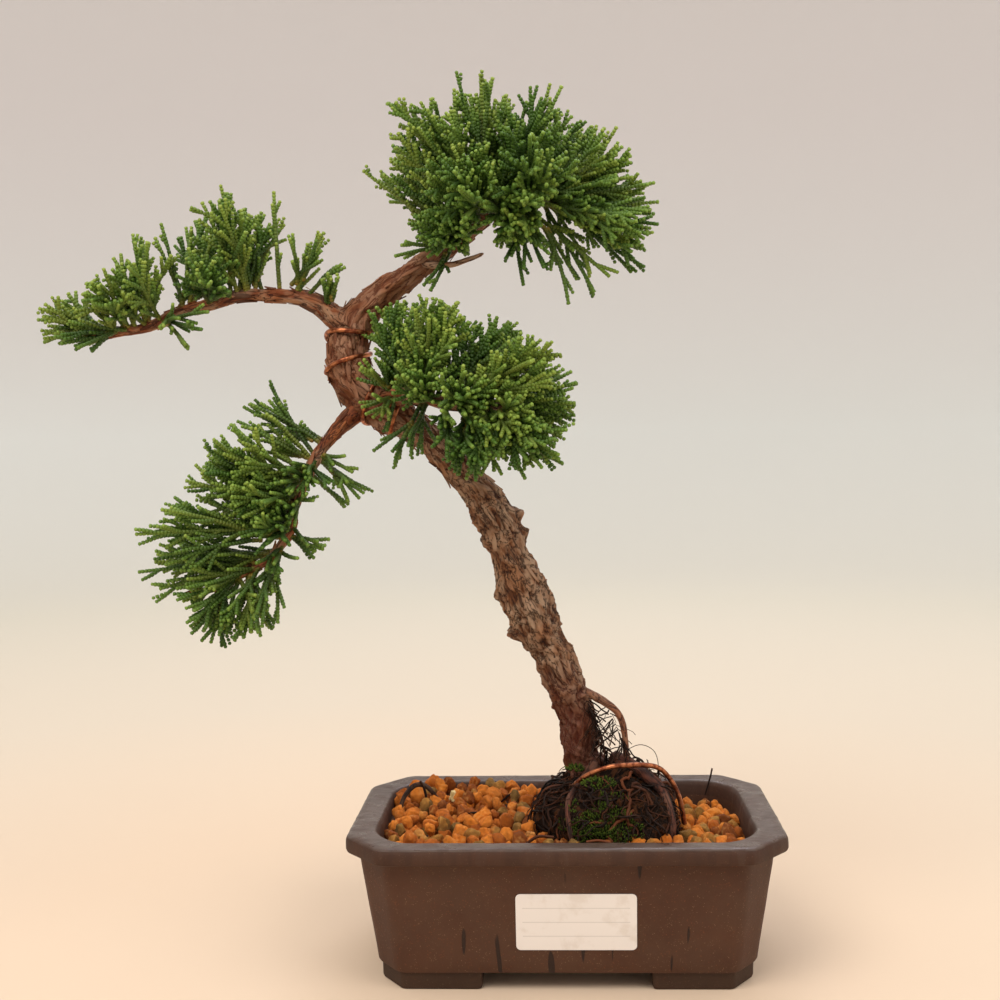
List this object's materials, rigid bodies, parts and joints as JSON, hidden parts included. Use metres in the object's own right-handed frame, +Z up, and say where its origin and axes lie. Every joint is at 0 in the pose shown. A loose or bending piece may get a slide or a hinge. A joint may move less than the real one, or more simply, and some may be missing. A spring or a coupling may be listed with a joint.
{
  "type": "potted bonsai tree",
  "caption": "Small trained juniper bonsai with a leaning trunk and foliage pads, in a shallow rectangular pot with cut corners, filled with clay granules.",
  "frame": {"origin": "middle of the overall footprint, on the surface that the pot's feet stand on; the pot's own middle is 55 mm to +X of it, because the tree leans out over -X", "axes": "+Z up, +X along the pot's long side to the right of its front, +Y from the front wall, which carries the label, to the back"},
  "size_m": [0.26, 0.1, 0.3159],
  "materials": {
    "pot_plastic": "matte",
    "mesh_plastic": "matte",
    "label_paper": "satin",
    "baked_clay": "matte",
    "pumice": "matte",
    "root_fibre": "matte",
    "root_bark": "matte",
    "moss": "matte",
    "bark": "matte",
    "dead_wood": "matte",
    "copper_wire": "satin",
    "foliage": "matte"
  },
  "bodies": {
    "root": {"pot": "pot_plastic", "label": "label_paper", "drainage_mesh_left": "mesh_plastic", "drainage_mesh_right": "mesh_plastic", "training_wire_upper": "copper_wire", "training_wire_lower": "copper_wire", "anchor_wire": "copper_wire", "trunk": "bark", "apex_branch": "bark", "left_branch": "bark", "lower_left_branch": "bark", "middle_branch": "bark", "dead_twig": "dead_wood", "arch_root": "root_bark", "surface_root_1": "root_bark", "surface_root_2": "root_bark", "moss": "moss", "root_mound": "root_fibre", "loose_root": "root_bark", "pumice_grain": "pumice", "loose_grain": "baked_clay", "akadama_soil": "baked_clay", "apex_spray_1": "foliage", "apex_spray_2": "foliage", "apex_spray_3": "foliage", "apex_spray_4": "foliage", "apex_spray_5": "foliage", "apex_spray_6": "foliage", "apex_spray_7": "foliage", "apex_spray_8": "foliage", "apex_spray_9": "foliage", "apex_spray_10": "foliage", "apex_spray_11": "foliage", "apex_spray_12": "foliage", "apex_spray_13": "foliage", "apex_spray_14": "foliage", "middle_spray_1": "foliage", "middle_spray_2": "foliage", "middle_spray_3": "foliage", "middle_spray_4": "foliage", "middle_spray_5": "foliage", "middle_spray_6": "foliage", "middle_spray_7": "foliage", "middle_spray_8": "foliage", "left_spray_1": "foliage", "left_spray_2": "foliage", "left_spray_3": "foliage", "left_spray_4": "foliage", "left_spray_5": "foliage", "left_spray_6": "foliage", "left_spray_7": "foliage", "lower_left_spray_1": "foliage", "lower_left_spray_2": "foliage", "lower_left_spray_3": "foliage", "lower_left_spray_4": "foliage", "lower_left_spray_5": "foliage", "lower_left_spray_6": "foliage", "lower_left_spray_7": "foliage", "lower_left_spray_8": "foliage", "fork_sprig": "foliage"}
  },
  "joints": []
}
